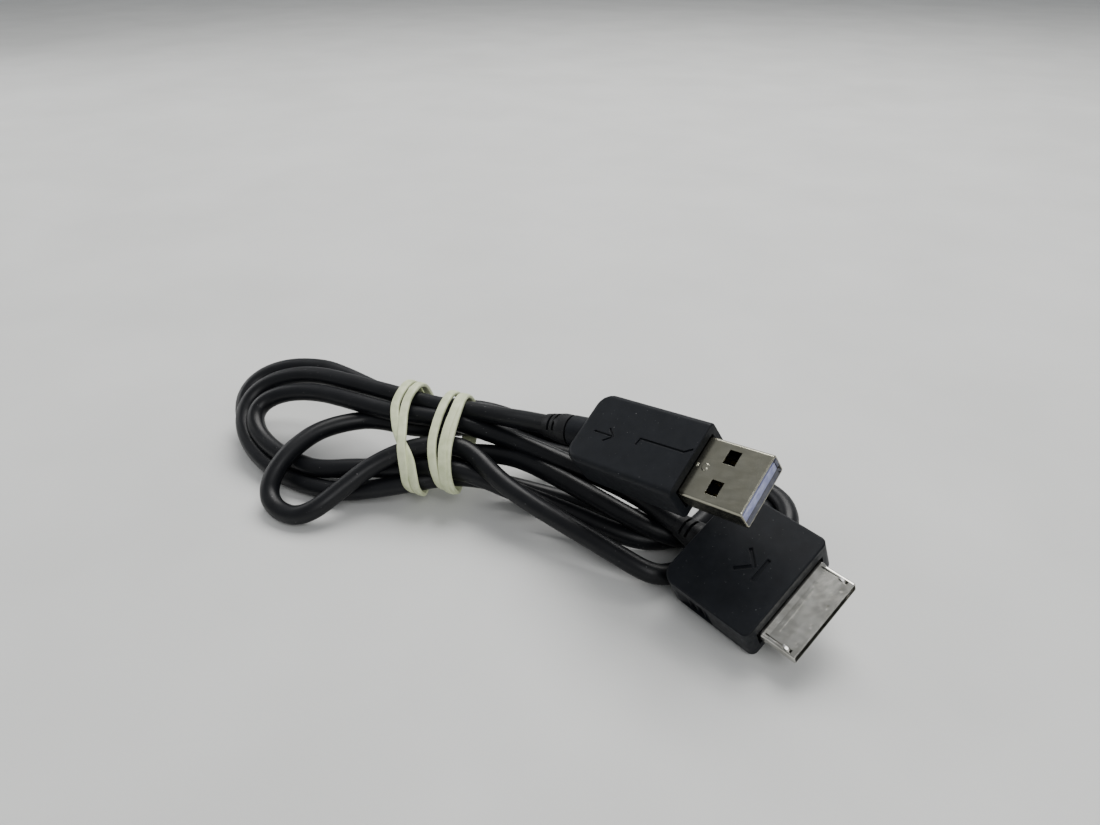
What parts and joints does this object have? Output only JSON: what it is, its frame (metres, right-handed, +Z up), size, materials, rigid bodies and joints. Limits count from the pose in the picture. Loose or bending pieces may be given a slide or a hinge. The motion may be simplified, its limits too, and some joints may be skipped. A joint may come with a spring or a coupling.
{
  "type": "usb to wide multi-pin plug cable",
  "caption": "Black data and charge cable with a USB-A plug and a wide flat latching plug, folded into a flat hank held by rubber bands.",
  "frame": {"origin": "on the surface the cable lies on, under the middle of the two plugs and the rubber bands", "axes": "+X along the hank towards the plugs, +Y across it on the side where the USB plug's cord leaves, +Z up"},
  "size_m": [0.1438, 0.0575, 0.0332],
  "materials": {
    "plug_nickel": "satin nickel plate, warm grey",
    "wide_plug_steel": "bright stamped steel",
    "latch_steel": "bright spring steel",
    "contact_gold": "thin gold plate",
    "tongue_plastic": "bluish white moulded plastic",
    "black_insulator": "black moulded plastic",
    "hood_plastic": "matte charcoal black, fine spark texture",
    "relief_rubber": "matte black soft plastic",
    "cord_jacket": "black satin soft plastic jacket",
    "crimp_metal": "tin plate",
    "inner_mould": "pale hard moulding",
    "solder": "dull solder",
    "wire_red": "insulation",
    "wire_white": "insulation",
    "wire_green": "insulation",
    "wire_black": "insulation",
    "band_rubber": "pale greenish cream rubber"
  },
  "bodies": {
    "root": {"usb_shell": "plug_nickel", "usb_contact_power": "contact_gold", "usb_contact_data_minus": "contact_gold", "usb_contact_data_plus": "contact_gold", "usb_contact_ground": "contact_gold", "usb_tongue": "tongue_plastic", "usb_jacket_end": "cord_jacket", "usb_crimp_ring": "crimp_metal", "usb_wire_red": "wire_red", "usb_wire_white": "wire_white", "usb_wire_green": "wire_green", "usb_wire_black": "wire_black", "usb_solder_joints": "solder", "usb_inner_mould": "inner_mould", "usb_strain_relief": "relief_rubber", "usb_hood": "hood_plastic", "multi_shell": "wide_plug_steel", "multi_contacts": "contact_gold", "multi_tongue": "black_insulator", "multi_jacket_end": "cord_jacket", "multi_crimp_ring": "crimp_metal", "multi_solder_joints": "solder", "multi_wire_red": "wire_red", "multi_wire_white": "wire_white", "multi_wire_green": "wire_green", "multi_wire_black": "wire_black", "multi_inner_mould": "inner_mould", "multi_strain_relief": "relief_rubber", "multi_hood": "hood_plastic", "usb_lead": "cord_jacket", "multi_lead": "cord_jacket", "cord_hank": "cord_jacket", "rubber_band_rear": "band_rubber", "rubber_band_front": "band_rubber"},
    "latch_near": {"latch_near": "latch_steel"},
    "latch_far": {"latch_far": "latch_steel"}
  },
  "joints": [
    {"name": "latch_near_flex", "type": "hinge", "parent": "root", "child": "latch_near", "pos_m": [0.03286, -0.01001, 0.00577], "axis": [0.3554, 0.8214, 0.4461], "range_deg": [0, 3], "stiffness_Nm_per_rad": 0.1},
    {"name": "latch_far_flex", "type": "hinge", "parent": "root", "child": "latch_far", "pos_m": [0.03823, 0.00239, 0.01251], "axis": [0.3554, 0.8214, 0.4461], "range_deg": [0, 3], "stiffness_Nm_per_rad": 0.1}
  ]
}
